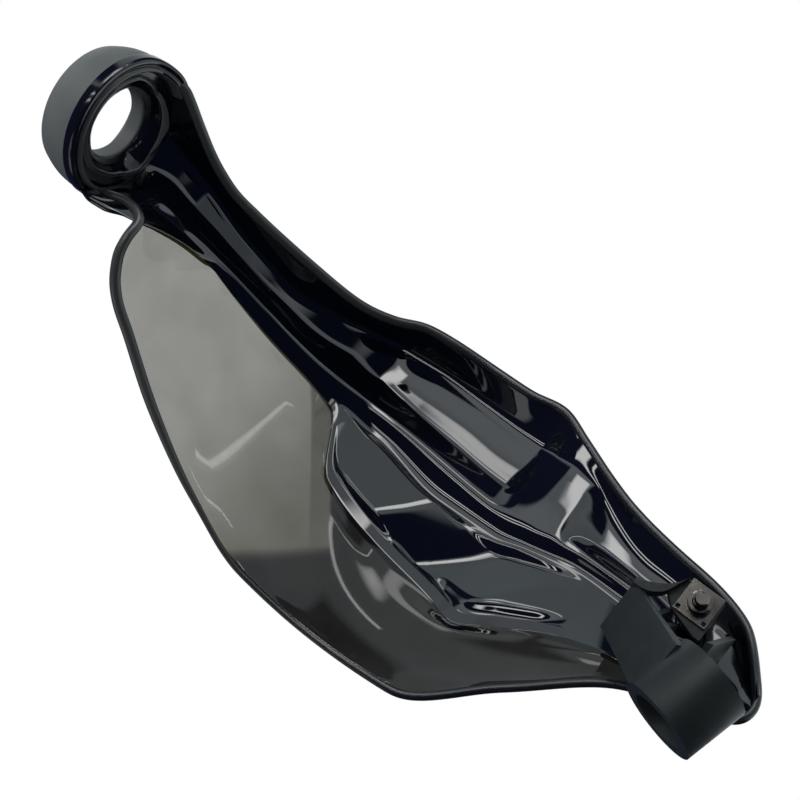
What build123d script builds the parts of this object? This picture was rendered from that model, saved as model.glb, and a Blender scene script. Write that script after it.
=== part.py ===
import os
from math import cos, radians, sin, sqrt

import numpy as np
from build123d import *

os.makedirs("parts", exist_ok=True)

# Right-hand motorcycle hand guard, in millimetres.
# The origin is the middle of the bore that goes over the bar end, +X points outboard along the
# handlebar, +Y points forward and +Z points up. The hand sits behind the guard, on its -Y side.

# Main sizes: from the bore to the inboard end, forward to the gutter and up to the rim
guard_length = 268.0
guard_depth = 111.0
guard_height = 85.5

# Bar-end sleeve and the cup of the frame that seats on it
bore_diameter = 24.5
bore_length = 6.0
cup_radius = 26.0
cup_wall = 2.6
cup_rim_length = 4.0
cup_floor = 2.0
sleeve_step = 0.6
sleeve_bulge = 0.7
sleeve_taper = 3.0
sleeve_end_depth = 6.0
sleeve_end_wall = 2.9
sleeve_edge = 0.6
spigot_radius = 19.5
spigot_length = 2.5
spigot_clearance = 0.15
collar_wall = 2.0
collar_mouth_radius = 16.5
collar_height = 1.6
frame_bore_clearance = 0.5
strut_lap = 1.0

# Walls of the mouldings
frame_wall = 2.6
shield_wall = 2.6
rim_width = 2.6
seam_gap = 0.2
widest_slant = 2.2
widest_rim_slant = 3.2

# Screw joint at the inboard end, on the bracket's pad
screw_diameter = 5.0
screw_hole_clearance = 0.5
screw_from_end = 33.0
screw_drop = 1.5
pad_turn = 10.0
pad_thickness = 3.0
pad_outboard = 21.0
pad_inboard = 16.0
pad_half = 7.0
pad_drop = 5.4
pad_hollow = (12.0, 1.5)
pad_corners = ((10.2, 2.6), (6.0, 6.3), (-4.6, 9.8), (-7.0, 9.8))
flange_width = 2.2
flange_depth = 6.0
boss_radius = 7.0
boss_length = 15.0
head_recess = 3.0
head_recess_clearance = 0.75
screw_head_radius = 4.75
screw_head_height = 2.75
screw_socket = 3.0
screw_socket_depth = 1.6
screw_tip = 3.5
head_round_share = 0.7
tip_chamfer = 0.5
thread_clearance = 0.1

# Clip nut, folded from spring steel and pushed over the lower edge of the pad
clip_width = 12.5
clip_length = 12.5
clip_sheet = 0.9
clip_play = 0.1
clip_strap = 2.4
clip_collar_wall = 1.3
clip_collar_height = 3.0
clip_notch = 1.4

# Bracket: tube for the pivot bolt, hollow arm and ribs
tube_radius = 14.0
tube_bore = 19.0
tube_length = 21.5
tube_inboard = 18.0
tube_back = 36.1
tube_rise = 48.4
tube_lean = 14.7
arm_low = 5.6
arm_low_in = 1.0
arm_high = 25.0
arm_high_in = 20.0
arm_wall = 2.2
arm_open = 9.0
arm_swing = 39.0
arm_root_height = 19.0
arm_root_outboard = 13.6
arm_root_inboard = 7.0
arm_root_drop = 4.5
rib_thickness = 1.8
rib_depth = 12.0
rib_starts = (0.5, 0.67)
rib_ends = ((6.4, 5.9), (1.8, 8.6))
cross_rib_place = 0.8

# Long lines of the frame's inner face, each a few (x, y, z) points from the cup to the inboard end.
# They run from the low rim, over the gutter and crease of the channel, the ridge and the valley behind
# it, to the edge that meets the shield, and last to the top rim. The main sizes stretch them.
low_rim = [
    (-22, 17, -20), (-32, 30, -18), (-40, 43, -18), (-56, 64, -21), (-75, 80, -24), (-90, 88, -32),
    (-124, 98, -37), (-152, 102, -40), (-166, 103, -36), (-193, 105, -25), (-216, 106, -20),
    (-234, 106, -17), (-249, 105, -11), (-259, 102, 0), (-268, 97, 12),
]
gutter = [
    (-22, 33, -10), (-32, 53, -9), (-50, 76, -9), (-67, 90, -18), (-86, 102, -27), (-103, 108, -29),
    (-139, 111, -27), (-154, 110, -26), (-160, 106, -25), (-186, 109, -20), (-205, 111, -13),
    (-220, 111, -10), (-235, 110, -8), (-249, 108, -4), (-259, 104, 4), (-268, 97.7, 13.5),
]
crease = [
    (-22, 36, -3), (-35, 57, -5), (-60, 84, -5), (-85, 104, -12), (-100, 109, -10), (-145, 109, -5),
    (-158, 104, -5), (-177, 106, -6), (-193, 110, -6), (-205, 111, -4), (-220, 110, -1), (-235, 109, 1),
    (-249, 107, 4), (-259, 104, 9), (-268, 98, 15.5),
]
ridge = [
    (-22, 20, 7), (-31, 34, 5), (-50, 63, 3), (-73, 86, 3), (-91, 97, 0), (-110, 102, 2), (-132, 104, 4.5),
    (-158, 105, 5), (-196, 105, 1), (-212, 104, 2), (-222, 105, 5), (-235, 106, 9), (-249, 104, 12),
    (-259, 101.5, 14), (-268, 98, 17.5),
]
valley = [
    (-22, 14, 14), (-36.5, 38, 7.5), (-42, 51, 6), (-57, 71, 6), (-72, 86, 6), (-80, 92, 6), (-102, 105, 7),
    (-154, 108, 14), (-174, 108, 8), (-193, 110, 4), (-210, 108, 9), (-222, 106, 12), (-235, 103, 16),
    (-249, 100.5, 18), (-268, 97.2, 19.3),
]
shield_edge = [
    (-22, 4, 24.5), (-32, 8, 22), (-36.5, 34, 11), (-42, 50, 8.5), (-57, 70, 9), (-72, 85, 9),
    (-86, 93, 11.5), (-104, 95, 34), (-131, 98, 42), (-159, 98, 47), (-171, 97, 50), (-181, 98, 44.5),
    (-203, 99, 32), (-220, 97, 27.5), (-240, 96, 25), (-268, 95.9, 20.8),
]
top_rim = [
    (-31.5, 3, 26), (-33, 8, 34), (-36, 14, 42), (-46, 26, 51.5), (-64, 42, 65), (-88, 58, 77),
    (-113, 71, 84.5), (-139, 79, 85.5), (-174, 85, 83), (-201, 89, 60), (-231.5, 91, 35.3),
    (-250, 92.5, 28.5), (-268, 94, 22.3),
]
frame_lines = (low_rim, gutter, crease, ridge, valley, shield_edge)
cup_angles = (-88, -45, -12, 20, 52, 84)
shield_belly = 2.0
slope_step = 1.0

# Places along the bar where sections are drawn: those that every wall shares, then the ends of each wall
stations = (
    -33, -36.5, -42, -50, -57, -64, -72, -80, -88, -104, -113, -124, -139, -152, -159, -171, -174, -181,
    -194, -203, -217, -231.5,
)
cup_stations = (-22, -32)
notch_stations = (-31.5, -32.3)
shield_ends = (-32.7, -235)
end_stations = (-236, -249, -259, -268)

# Places worked out from the sizes above
length_share = guard_length / -low_rim[-1][0]
depth_share = guard_depth / max(p[1] for p in gutter)
height_share = guard_height / max(p[2] for p in top_rim)
web_half = bore_length / 2
sleeve_out = web_half + sleeve_end_depth
seat_x = -web_half - spigot_length
cup_face = seat_x - cup_rim_length
collar_face = seat_x - cup_floor - collar_height
cup_inner = cup_radius - cup_wall
frame_bore = bore_diameter / 2 + frame_bore_clearance
spigot_end = -web_half - spigot_clearance
sleeve_root_radius = cup_radius - sleeve_step
sleeve_end_radius = sleeve_root_radius - sleeve_taper
sleeve_recess_radius = sleeve_end_radius - sleeve_end_wall
spigot_seat = spigot_radius + spigot_clearance


def at(line, x):
    """Point (y, z) of a long line at x, straight between its points, stretched to the main sizes."""
    places = [-p[0] * length_share for p in line]
    forward = np.interp(-x, places, [p[1] * depth_share for p in line])
    height = np.interp(-x, places, [p[2] * height_share for p in line])
    return np.array([forward, height])


def along(*groups):
    """Places of the sections along the bar, stretched to the guard's length."""
    return [x * length_share for group in groups for x in group]


def outward(points, slopes, wall):
    """Points moved forward by the wall, square to the surface, with mitred corners."""
    moved = []
    for i, point in enumerate(points):
        before = points[max(i - 1, 0)]
        after = points[min(i + 1, len(points) - 1)]
        first = point - before if i > 0 else after - point
        last = after - point if i < len(points) - 1 else first
        first = first / np.linalg.norm(first)
        last = last / np.linalg.norm(last)
        normal = np.array([first[1] + last[1], -first[0] - last[0]])
        normal = normal / np.linalg.norm(normal)
        mitre = max(normal @ np.array([last[1], -last[0]]), 0.5)
        slant = min(sqrt(1 + (normal @ slopes[i]) ** 2), widest_slant)
        moved.append(point + normal * wall * slant / mitre)
    return moved


def slope(line, x):
    """Rate of change of a long line's (y, z) along x."""
    return (at(line, x + slope_step) - at(line, x - slope_step)) / (2 * slope_step)


def whole_section(x):
    """Inner and outer points at x of the wall from the low rim to the top rim."""
    lines = frame_lines + (top_rim,)
    inner = [at(line, x) for line in lines]
    outer = outward(inner, [slope(line, x) for line in lines], frame_wall)
    return inner, outer


def wall_face(x, inner, outer):
    """Closed section of a wall on the plane square to the bar at x."""
    corners = [tuple(p) for p in inner] + [tuple(p) for p in reversed(outer)]
    with BuildSketch(Plane.YZ.offset(x)) as section:
        with BuildLine():
            Polyline(*corners, close=True)
        make_face()
    return section.sketch.face()


def cup_section():
    """Inner and outer points where the frame leaves the cup, on the cup's own wall."""
    turns = [radians(a) for a in cup_angles]
    inner = [np.array([cup_inner * cos(a), cup_inner * sin(a)]) for a in turns]
    outer = [np.array([cup_radius * cos(a), cup_radius * sin(a)]) for a in turns]
    return inner, outer


def top_band(x):
    """Direction from the top rim down the shield, and the band's depth in the section at x."""
    high = at(top_rim, x)
    down = at(shield_edge, x) - high
    span = np.linalg.norm(down)
    down = down / span
    band = rim_width * min(sqrt(1 + (down @ slope(top_rim, x)) ** 2), widest_rim_slant)
    return high, down, min(band, span)


# Sleeve over the bar end: a barrel with a bored web, a recess outboard and a seat for the cup's spigot
with BuildPart() as bar_end_sleeve:
    with BuildSketch(Plane.XY):
        with BuildLine():
            ThreePointArc((seat_x, sleeve_root_radius), (web_half, sleeve_root_radius - sleeve_bulge),
                          (sleeve_out - sleeve_edge, sleeve_end_radius))
            Polyline((sleeve_out - sleeve_edge, sleeve_end_radius),
                     (sleeve_out, sleeve_end_radius - sleeve_edge), (sleeve_out, sleeve_recess_radius),
                     (web_half, sleeve_recess_radius), (web_half, bore_diameter / 2),
                     (-web_half, bore_diameter / 2), (-web_half, spigot_seat), (seat_x, spigot_seat),
                     (seat_x, sleeve_root_radius))
        make_face()
    revolve(axis=Axis.X)
bar_end_sleeve.part.label = "bar_end_sleeve"

# Screw joint: local x runs outboard along the pad, y up and z towards the rider
turn = radians(pad_turn)
clip_gap = clip_sheet + 2 * clip_play
boss_seat = -clip_gap
boss_front = boss_seat - boss_length
screw_x = screw_from_end - guard_length
screw_point = Vector(screw_x, at(gutter, screw_x)[0] + boss_front * cos(turn), -screw_drop)
pad_plane = Plane(origin=screw_point, x_dir=(cos(turn), -sin(turn), 0), z_dir=(-sin(turn), -cos(turn), 0))

# Frame: cup, channel and bowl as one wall, closed by the rim bead and bored at the screw boss
with BuildPart() as guard_frame:
    with BuildSketch(Plane.XY):
        with BuildLine():
            Polyline((spigot_end, frame_bore), (collar_face, collar_mouth_radius),
                     (collar_face, collar_mouth_radius + collar_wall),
                     (seat_x - cup_floor, collar_mouth_radius + collar_wall),
                     (seat_x - cup_floor, cup_inner), (cup_face, cup_inner), (cup_face, cup_radius),
                     (seat_x, cup_radius), (seat_x, spigot_radius), (spigot_end, spigot_radius), close=True)
        make_face()
    revolve(axis=Axis.X)
    sections = [wall_face(cup_face + strut_lap, *cup_section())]
    for x in along(cup_stations, stations, end_stations[:1]):
        inner, outer = whole_section(x)
        sections.append(wall_face(x, inner[:-1], outer[:-1]))
    loft(sections, ruled=True)
    loft([wall_face(x, *whole_section(x)) for x in along(end_stations)], ruled=True)
    bands = []
    for x in along(notch_stations, stations, end_stations):
        high, down, band = top_band(x)
        ahead = np.array([-down[1], down[0]]) * frame_wall
        bands.append(wall_face(x, [high + down * band, high], [high + down * band + ahead, high + ahead]))
    loft(bands, ruled=True)
    with BuildSketch(pad_plane.offset(boss_seat)):
        Circle(boss_radius)
    extrude(amount=-boss_length - head_recess)
    with BuildSketch(pad_plane.offset(boss_seat)):
        Circle((screw_diameter + screw_hole_clearance) / 2)
    extrude(amount=-boss_length, mode=Mode.SUBTRACT)
    with BuildSketch(pad_plane.offset(boss_front)):
        Circle(screw_head_radius + head_recess_clearance)
    extrude(amount=-head_recess - frame_wall, mode=Mode.SUBTRACT)
guard_frame.part.label = "guard_frame"

# Shield: one smoke-tinted panel let into the frame, a seam's width from its edge and its rim
with BuildPart() as smoke_shield:
    panels = []
    for x in along(shield_ends[:1], stations, shield_ends[1:]):
        inner, outer = whole_section(x)
        high, down, band = top_band(x)
        ahead = np.array([-down[1], down[0]])
        foot = inner[-2] - down * seam_gap
        foot_out = outer[-2] - down * seam_gap
        head = high + down * (band + seam_gap)
        belly = (foot + head) / 2 + ahead * shield_belly
        front = [foot_out, belly + ahead * shield_wall, head + ahead * shield_wall]
        panels.append(wall_face(x, [foot, belly, head], front))
    loft(panels, ruled=True)
smoke_shield.part.label = "smoke_shield"

# Bracket: hollow arm, open below, from the tube down and forward to the pad, with ribs across it. The arm
# is trimmed clear of both ends of the tube.
lean = radians(tube_lean)
swing = radians(arm_swing)
tube_axis = Vector(-sin(lean), 0, -cos(lean))
tube_top = screw_point + Vector(-tube_inboard, -tube_back, tube_rise)
tube_plane = Plane(origin=tube_top, x_dir=(0, 1, 0), z_dir=tube_axis)
root_across = Vector(cos(swing), -sin(swing), 0)
root_plane = Plane(origin=tube_top + tube_axis * (tube_length / 2), x_dir=root_across,
                   z_dir=root_across.cross(tube_axis * -1))


def arm_face(plane, sides, lows, highs):
    """Four-sided section of the arm on a plane, from its two sides and their low and high ends."""
    with BuildSketch(plane) as section:
        with BuildLine():
            Polyline((sides[0], lows[0]), (sides[1], lows[1]), (sides[1], highs[1]), (sides[0], highs[0]),
                     close=True)
        make_face()
    return section.sketch.face()


half_root = arm_root_height / 2
arm_faces = (
    arm_face(pad_plane, (-pad_inboard, pad_outboard), (arm_low_in, arm_low), (arm_high_in, arm_high)),
    arm_face(root_plane, (arm_root_inboard, arm_root_outboard), (-half_root - arm_root_drop, -half_root),
             (half_root, half_root)),
)
hollow_faces = (
    arm_face(pad_plane, (arm_wall - pad_inboard, pad_outboard - arm_wall),
             (arm_low_in - arm_open, arm_low - arm_open), (arm_high_in - arm_wall, arm_high - arm_wall)),
    arm_face(root_plane, (arm_root_inboard + arm_wall, arm_root_outboard - arm_wall),
             (-half_root - arm_open, -half_root - arm_open), (half_root - arm_wall, half_root - arm_wall)),
)
arm_start = arm_faces[0].center()
arm_run = arm_faces[1].center() - arm_start

wall_low = pad_plane.from_local_coords(Vector(pad_outboard - arm_wall / 2, arm_low, 0))
wall_end = root_plane.from_local_coords(Vector(arm_root_outboard - arm_wall / 2, -half_root, 0))
rib_planes = [Plane(origin=arm_start + arm_run * cross_rib_place, z_dir=arm_run)]
rib_sizes = [(2 * arm_run.length, 2 * arm_run.length, Align.CENTER)]
for share, place in zip(rib_starts, rib_ends):
    start = wall_low + (wall_end - wall_low) * share
    reach = pad_plane.from_local_coords(Vector(*place, 0)) - start
    rib_planes.append(Plane(origin=start, x_dir=reach, z_dir=reach.cross(Vector(0, 0, 1))))
    rib_sizes.append((reach.length, rib_depth, Align.MIN))

ribs = []
for plane, (length, height, side) in zip(rib_planes, rib_sizes):
    with BuildPart() as rib:
        loft(arm_faces)
        with BuildSketch(plane):
            Rectangle(length, height, align=(side, side))
        extrude(amount=rib_thickness / 2, both=True, mode=Mode.INTERSECT)
    ribs.append(rib.part)

with BuildPart() as lever_bracket:
    loft(arm_faces)
    loft(hollow_faces, mode=Mode.SUBTRACT)
    add(ribs)
    with BuildSketch(pad_plane):
        with BuildLine():
            Polyline((pad_half, -pad_drop), *pad_corners, (-pad_half, -pad_drop), close=True)
        make_face()
    extrude(amount=pad_thickness)
    with BuildSketch(pad_plane):
        with BuildLine():
            ThreePointArc((pad_half, -pad_drop), pad_hollow, (pad_outboard, arm_low))
            Polyline((pad_outboard, arm_low), (pad_outboard, arm_low + flange_width))
            ThreePointArc((pad_outboard, arm_low + flange_width),
                          (pad_hollow[0] - flange_width / 2, pad_hollow[1] + flange_width), pad_corners[0])
            Polyline(pad_corners[0], (pad_half, -pad_drop))
        make_face()
    extrude(amount=flange_depth)
    with BuildSketch(tube_plane):
        Circle(tube_radius)
    extrude(amount=tube_length)
    with BuildSketch(tube_plane):
        Circle(tube_radius)
    extrude(amount=-tube_length, mode=Mode.SUBTRACT)
    with BuildSketch(tube_plane.offset(tube_length)):
        Circle(tube_radius)
    extrude(amount=tube_length, mode=Mode.SUBTRACT)
    with BuildSketch(tube_plane.offset(tube_length / 2)):
        Circle(tube_bore / 2)
    extrude(amount=tube_length, both=True, mode=Mode.SUBTRACT)
    with BuildSketch(pad_plane):
        Circle((screw_diameter + screw_hole_clearance) / 2)
    extrude(amount=pad_thickness, mode=Mode.SUBTRACT)
lever_bracket.part.label = "lever_bracket"

# Clip nut: two leaves joined by two straps round the pad's lower edge, with a threaded collar drawn up
leaf_low = -pad_drop - clip_play - clip_sheet
leaf_middle = leaf_low + clip_length / 2
leaf_rear = pad_thickness + clip_play
notch_middle = leaf_low + clip_length - clip_notch
strap_place = (clip_width - clip_strap) / 2
with BuildPart() as clip_nut:
    with BuildSketch(pad_plane.offset(leaf_rear)):
        with Locations((0, leaf_middle)):
            Rectangle(clip_width, clip_length)
    extrude(amount=clip_sheet)
    with BuildSketch(pad_plane.offset(-clip_play)):
        with Locations((0, leaf_middle)):
            Rectangle(clip_width, clip_length)
    extrude(amount=-clip_sheet)
    with BuildSketch(pad_plane.offset(-clip_play - clip_sheet)):
        with Locations((strap_place, leaf_low + clip_sheet / 2), (-strap_place, leaf_low + clip_sheet / 2)):
            Rectangle(clip_strap, clip_sheet)
    extrude(amount=pad_thickness + 2 * clip_play + 2 * clip_sheet)
    with BuildSketch(pad_plane.offset(leaf_rear + clip_sheet)):
        Circle(screw_diameter / 2 + thread_clearance + clip_collar_wall)
    extrude(amount=clip_collar_height)
    with BuildSketch(pad_plane.offset(leaf_rear)):
        Circle(screw_diameter / 2 + thread_clearance)
    extrude(amount=clip_sheet + clip_collar_height, mode=Mode.SUBTRACT)
    with BuildSketch(pad_plane.offset(-clip_play)):
        Circle((screw_diameter + screw_hole_clearance) / 2)
    extrude(amount=-clip_sheet, mode=Mode.SUBTRACT)
    with BuildSketch(pad_plane.offset(leaf_rear)):
        with Locations((strap_place, notch_middle), (-strap_place, notch_middle)):
            Rectangle(clip_notch, clip_notch)
    extrude(amount=clip_sheet, mode=Mode.SUBTRACT)
clip_nut.part.label = "clip_nut"

# Screw: button head on the boss in front, shank through boss, clip and pad, tip standing out of the collar
shank_end = leaf_rear + clip_sheet + clip_collar_height + screw_tip
with BuildPart() as mounting_screw:
    with BuildSketch(pad_plane.offset(boss_front)):
        Circle(screw_head_radius)
    extrude(amount=-screw_head_height)
    head_rim = mounting_screw.edges().filter_by(GeomType.CIRCLE).sort_by(Axis.Y)[-1]
    fillet(head_rim, radius=screw_head_height * head_round_share)
    with BuildSketch(pad_plane.offset(boss_front)):
        Circle(screw_diameter / 2)
    extrude(amount=shank_end - boss_front)
    with BuildSketch(pad_plane.offset(boss_front - screw_head_height)):
        RegularPolygon(screw_socket / 2, 6, major_radius=False)
    extrude(amount=screw_socket_depth, mode=Mode.SUBTRACT)
    tip_rim = mounting_screw.edges().filter_by(GeomType.CIRCLE).sort_by(Axis.Y)[0]
    chamfer(tip_rim, length=tip_chamfer)
mounting_screw.part.label = "mounting_screw"

for piece in (bar_end_sleeve, guard_frame, smoke_shield, lever_bracket, clip_nut, mounting_screw):
    export_step(piece.part, f"parts/{piece.part.label}.step")
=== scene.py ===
import bpy
import numpy as np
from mathutils import Matrix


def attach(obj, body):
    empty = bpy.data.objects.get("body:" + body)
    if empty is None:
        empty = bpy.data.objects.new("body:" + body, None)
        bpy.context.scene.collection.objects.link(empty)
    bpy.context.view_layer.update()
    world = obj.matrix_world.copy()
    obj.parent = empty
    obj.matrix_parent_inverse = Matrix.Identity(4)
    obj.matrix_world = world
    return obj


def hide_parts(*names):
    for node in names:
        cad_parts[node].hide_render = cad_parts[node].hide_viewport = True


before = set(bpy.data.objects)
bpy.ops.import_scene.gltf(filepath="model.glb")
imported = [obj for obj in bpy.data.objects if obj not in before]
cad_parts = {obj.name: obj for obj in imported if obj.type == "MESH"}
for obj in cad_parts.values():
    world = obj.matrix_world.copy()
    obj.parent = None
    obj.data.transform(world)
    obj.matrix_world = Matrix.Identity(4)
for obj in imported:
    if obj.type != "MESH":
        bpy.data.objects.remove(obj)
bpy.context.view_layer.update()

# Bar-end sleeve: a barrel-shaped ring over the end of the handlebar, moulded in matt grey-black plastic.
# Turned about the bar's axis, with rolled edges; the bar-end bolt clamps it and the frame's cup together.
millimetre = 0.001
tiny = 1e-9


def rounded(corners, cuts, steps=6, runs=0, most=0.47):
    """Line through corners with each inner corner replaced by a quadratic curve that starts and ends one
    cut away from it, but never past `most` of a side; `runs` extra points divide each straight side.
    corners is (..., k, d), cuts is (..., k), and runs is one count or one per side; the result is
    (..., m, d)."""
    corners = np.asarray(corners, float)
    cuts = np.broadcast_to(np.asarray(cuts, float), corners.shape[:-1])
    runs = np.broadcast_to(runs, corners.shape[-2] - 1)
    sides = np.maximum(np.linalg.norm(np.diff(corners, axis=-2), axis=-1), tiny)
    t = np.linspace(0, 1, steps)[:, None]
    last = corners[..., :1, :]
    blocks = [last]
    for k in range(1, corners.shape[-2] - 1):
        p = corners[..., k:k + 1, :]
        before = np.minimum(cuts[..., k] / sides[..., k - 1], most)[..., None, None]
        after = np.minimum(cuts[..., k] / sides[..., k], most)[..., None, None]
        a = p + (corners[..., k - 1:k, :] - p) * before
        b = p + (corners[..., k + 1:k + 2, :] - p) * after
        share = np.linspace(0, 1, runs[k - 1] + 2)[1:-1, None]
        blocks.append(last + (a - last) * share)
        blocks.append((1 - t) ** 2 * a + 2 * t * (1 - t) * p + t ** 2 * b)
        last = b
    end = corners[..., -1:, :]
    share = np.linspace(0, 1, runs[-1] + 2)[1:-1, None]
    blocks.append(last + (end - last) * share)
    blocks.append(end)
    return np.concatenate(blocks, axis=-2)


def skin(name, grid, wrap_rows=False, wrap_columns=False, caps=False, flip=False):
    """Mesh piece from a (rows, columns, 3) grid of points in millimetres: one four-sided face per cell,
    joined round the ends where wrapped, with an end face on the first and last row where capped. Flipped,
    every face is turned over."""
    rows, columns = grid.shape[:2]
    order = np.arange(rows * columns).reshape(rows, columns)
    low = order if wrap_rows else order[:-1]
    high = np.roll(order, -1, 0) if wrap_rows else order[1:]
    corners = [low, high, np.roll(high, -1, 1), np.roll(low, -1, 1)]
    if not wrap_columns:
        corners = [corner[:, :-1] for corner in corners]
    quads = np.stack(corners, -1).reshape(-1, 4)
    faces = (quads[:, ::-1] if flip else quads).tolist()
    if caps:
        first, last = order[0].tolist(), order[-1].tolist()
        faces += [first[::-1], last] if flip else [first, last[::-1]]
    mesh = bpy.data.meshes.new(name)
    mesh.from_pydata((grid.reshape(-1, 3) * millimetre).tolist(), [], faces)
    mesh.polygons.foreach_set("use_smooth", np.ones(len(faces), bool))
    mesh.update()
    piece = bpy.data.objects.new(name, mesh)
    bpy.context.scene.collection.objects.link(piece)
    return piece


def turned(profile, turns):
    """Grid of a closed profile of (x, radius) points turned about the bar's axis: y = r cos a, z = r sin a.
    The profile is one for all turns, or one per turn."""
    angle = np.linspace(0, 2 * np.pi, turns, endpoint=False)[:, None]
    x, r = profile[..., 0], profile[..., 1]
    return np.stack([np.broadcast_to(x, (turns, x.shape[-1])), r * np.cos(angle), r * np.sin(angle)], -1)


def new_finish(name):
    """New material, with its node tree and its shader."""
    finish = bpy.data.materials.new(name)
    finish.use_nodes = True
    return finish, finish.node_tree, finish.node_tree.nodes["Principled BSDF"]


def add_node(tree, kind, inputs, **settings):
    """Shader node with its settings; each input, by name or number, gets a value or a node's socket."""
    node = tree.nodes.new("ShaderNode" + kind)
    for name, value in settings.items():
        setattr(node, name, value)
    for name, value in inputs.items():
        if isinstance(value, bpy.types.NodeSocket):
            tree.links.new(value, node.inputs[name])
        else:
            node.inputs[name].default_value = value
    return node


def moulded(name, colour, spread, patch, roughness, grain, depth):
    """Plastic whose colour and gloss drift over patches, with a fine moulded grain. A noise takes the
    colour from 1 less the spread to 1 more, and the roughness between its two values; a finer noise is the
    bump."""
    finish, tree, shader = new_finish(name)
    place = add_node(tree, "TexCoord", {}).outputs["Object"]
    drift = add_node(tree, "TexNoise", {"Vector": place, "Scale": 1 / patch, "Detail": 4}).outputs["Fac"]
    dark, pale = [(*[c * share for c in colour], 1) for share in (1 - spread, 1 + spread)]
    tint = add_node(tree, "Mix", {"Factor": drift, "A": dark, "B": pale}, data_type="RGBA")
    tree.links.new(tint.outputs["Result"], shader.inputs["Base Color"])
    gloss = add_node(tree, "MapRange", {"Value": drift, "From Min": 0.3, "From Max": 0.7,
                                        "To Min": roughness[0], "To Max": roughness[1]})
    tree.links.new(gloss.outputs["Result"], shader.inputs["Roughness"])
    fine = add_node(tree, "TexNoise", {"Vector": place, "Scale": 1 / grain}).outputs["Fac"]
    bump = add_node(tree, "Bump", {"Height": fine, "Strength": depth, "Distance": 0.0002})
    tree.links.new(bump.outputs["Normal"], shader.inputs["Normal"])
    return finish


sleeve_corners = [(-5.5, 22.5), (-5.5, 25.4), (-2, 25.45), (3, 24.75), (9, 22.3), (9, 19.5), (3, 19.5),
                  (3, 12.25), (-3, 12.25), (-3, 19.65), (-5.5, 19.65), (-5.5, 22.5)]
sleeve_cuts = [0, 0.5, 3, 4, 1.0, 0.7, 0.8, 0.7, 0.6, 0.5, 0.4, 0]
sleeve_turns = 160
sleeve_profile = rounded(sleeve_corners, sleeve_cuts, steps=6, runs=2)[:-1]
sleeve = skin("sleeve", turned(sleeve_profile, sleeve_turns), wrap_rows=True, wrap_columns=True)
sleeve_matt = moulded("sleeve_matt", colour=(0.14, 0.154, 0.155), spread=0.12, patch=0.012,
                      roughness=(0.5, 0.62), grain=0.00035, depth=0.25)
sleeve.data.materials.append(sleeve_matt)
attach(sleeve, "root")
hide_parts("bar_end_sleeve")


# Guard frame, wall: the gloss black moulding from the cup along the channel and the trough to the bowl at
# the inboard end. Its long lines run from the cup inboard and carry a bent wall section that is rounded at
# every crease.
def smooth_line(points, x):
    """Forward and up place (y, z) of a long line at x: a cubic through its (x, y, z) points whose slope at
    each point is the weighted harmonic mean of the slopes beside it, so that it never overshoots."""
    points = np.asarray(points, float)
    along, across = -points[:, 0], points[:, 1:]
    step = np.diff(along)[:, None]
    rise = np.diff(across, axis=0) / step
    w1, w2 = 2 * step[1:] + step[:-1], step[1:] + 2 * step[:-1]
    same = rise[:-1] * rise[1:] > 0
    mean = (w1 + w2) / (w1 / np.where(same, rise[:-1], 1) + w2 / np.where(same, rise[1:], 1))
    slope = np.concatenate([rise[:1], np.where(same, mean, 0), rise[-1:]])
    i = np.clip(np.searchsorted(along, -np.asarray(x)) - 1, 0, len(step) - 1)
    t = np.clip((-np.asarray(x) - along[i])[:, None] / step[i], 0, 1)
    return (across[i] * (1 + 2 * t) * (1 - t) ** 2 + slope[i] * step[i] * t * (1 - t) ** 2
            + across[i + 1] * t ** 2 * (3 - 2 * t) - slope[i + 1] * step[i] * t ** 2 * (1 - t))


def ease(value):
    """Smooth step from 0 to 1: three times the square less twice the cube."""
    value = np.clip(value, 0, 1)
    return value ** 2 * (3 - 2 * value)


def stretch(x, start, start_run, end, end_run):
    """1 along a stretch of the bar and 0 outside it: it rises over a run inboard of its start and falls
    over a run before its end, both by the smooth step."""
    return ease((start - x) / start_run) * ease((x - end) / end_run)


def spaced(*stops):
    """Places along the bar from (x, count) stops: each count is the number of steps to the next stop."""
    runs = [np.linspace(a[0], b[0], a[1], endpoint=False) for a, b in zip(stops, stops[1:])]
    return np.concatenate(runs + [[stops[-1][0]]])


def outward(lines, x, wall):
    """Points of the lines moved a wall forward, square to the wall, mitred at corners: the mean of the two
    side normals divided by its share along them, times the slant of the line along the bar."""
    first = np.diff(lines, axis=1)
    first = first / np.maximum(np.linalg.norm(first, axis=-1, keepdims=True), tiny)
    before = np.concatenate([first[:, :1], first], 1)
    after = np.concatenate([first, first[:, -1:]], 1)
    normal = np.stack([before[..., 1] + after[..., 1], -before[..., 0] - after[..., 0]], -1)
    normal = normal / np.linalg.norm(normal, axis=-1, keepdims=True)
    side = np.stack([after[..., 1], -after[..., 0]], -1)
    least_mitre, most_slant = 0.5, 1.5
    mitre = np.maximum((normal * side).sum(-1, keepdims=True), least_mitre)
    slope = np.gradient(lines, x, axis=0)
    slant = np.minimum(np.sqrt(1 + (normal * slope).sum(-1, keepdims=True) ** 2), most_slant)
    return lines + normal * wall * slant / mitre


def on_bar(section, x):
    """Adds the place along the bar to a grid of (y, z) points."""
    return np.concatenate([np.broadcast_to(x[:, None, None], section.shape[:2] + (1,)), section], -1)


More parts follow.
